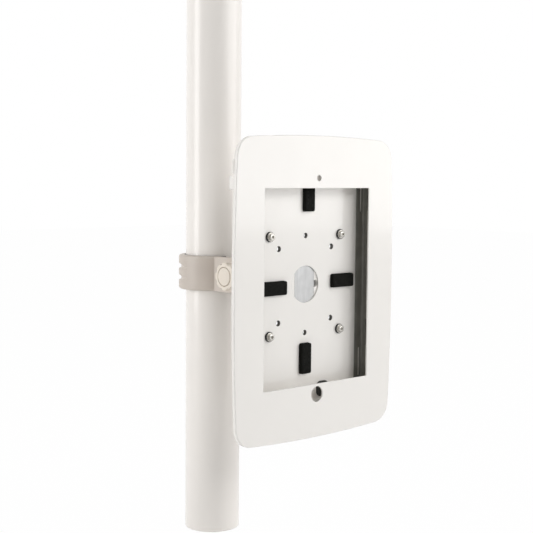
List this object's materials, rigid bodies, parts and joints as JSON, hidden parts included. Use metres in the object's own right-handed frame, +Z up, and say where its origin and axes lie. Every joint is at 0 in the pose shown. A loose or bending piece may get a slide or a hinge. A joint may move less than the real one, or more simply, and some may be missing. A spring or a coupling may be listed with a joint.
{
  "type": "customer pole display",
  "caption": "White tablet display enclosure with a hinged, bowed front cover, carried by a tilting arm on a knob-locked clamp that slides and swivels on a round counter pole.",
  "frame": {"origin": "centre of the pole's foot, at the mouth of its foot thread", "axes": "+Z up along the pole, the screen faces -Y, +X to the right as the customer sees it"},
  "size_m": [0.225, 0.2046, 0.604],
  "materials": {
    "pole_paint": "semi-gloss white powder coat",
    "white_cap": "smooth white moulded plastic",
    "foot_metal": "turned aluminium",
    "sleeve_rubber": "dark grip rubber",
    "taupe_plastic": "fine-textured taupe moulded plastic",
    "knob_plastic": "light taupe moulded plastic",
    "zinc_steel": "bright zinc-plated steel",
    "nylon": "natural nylon",
    "brass": "machined brass",
    "arm_aluminium": "satin grey aluminium",
    "cover_paint": "glossy white powder coat",
    "tray_paint": "glossy white powder coat",
    "black_rubber": "black moulded rubber",
    "liner_grey": "dark grey rubber-faced liner",
    "black_foam": "black closed-cell foam"
  },
  "bodies": {
    "pole": {"pole_tube": "pole_paint", "pole_top_cap": "white_cap", "pole_foot_plug": "foot_metal"},
    "sleeve": {"clamp_sleeve": "sleeve_rubber"},
    "clamp": {"clamp_band": "taupe_plastic", "friction_washers": "nylon", "knob_washer": "nylon", "head_washer": "zinc_steel", "clamp_bolt": "zinc_steel"},
    "knob": {"clamp_knob": "knob_plastic", "knob_insert": "brass", "knob_cap": "knob_plastic"},
    "display": {"tilt_arm": "arm_aluminium", "arm_screws": "zinc_steel", "adapter_plate": "tray_paint", "vesa_rubber_washers": "black_rubber", "vesa_flat_washers": "zinc_steel", "vesa_screws": "zinc_steel", "vesa_nuts": "zinc_steel", "rear_tray": "tray_paint", "cable_grommet": "black_rubber", "side_liner_left": "liner_grey", "side_liner_right": "liner_grey", "side_pads": "black_foam", "foam_pad_right": "black_foam", "foam_pad_left": "black_foam", "foam_pad_top": "black_foam", "foam_pad_bottom": "black_foam", "hinge_leaf_tray": "tray_paint", "hinge_pin": "zinc_steel", "latch_bracket": "tray_paint"},
    "cover": {"front_cover": "cover_paint", "hinge_leaf_cover": "cover_paint", "latch_keeper": "cover_paint"},
    "latch": {"latch_slider": "cover_paint", "latch_studs": "zinc_steel"}
  },
  "joints": [
    {"name": "clamp_height", "type": "slide", "parent": "pole", "child": "sleeve", "axis": [0, 0, 1], "range_m": [-0.12, 0.24]},
    {"name": "clamp_swivel", "type": "hinge", "parent": "sleeve", "child": "clamp", "pos_m": [0, 0, 0.2895], "axis": [0, 0, 1], "continuous": true},
    {"name": "knob_turn", "type": "hinge", "parent": "clamp", "child": "knob", "pos_m": [-0.03, -0.0625, 0.2895], "axis": [-1, 0, 0], "continuous": true},
    {"name": "display_tilt", "type": "hinge", "parent": "clamp", "child": "display", "pos_m": [0, -0.0625, 0.2895], "axis": [1, 0, 0], "range_deg": [-40, 40]},
    {"name": "cover_hinge", "type": "hinge", "parent": "display", "child": "cover", "pos_m": [0.0932, -0.1594, 0.2849], "axis": [0, 0, 1], "range_deg": [0, 100]},
    {"name": "latch_slide", "type": "slide", "parent": "display", "child": "latch", "axis": [0, 0, -1], "range_m": [0, 0.012]}
  ]
}
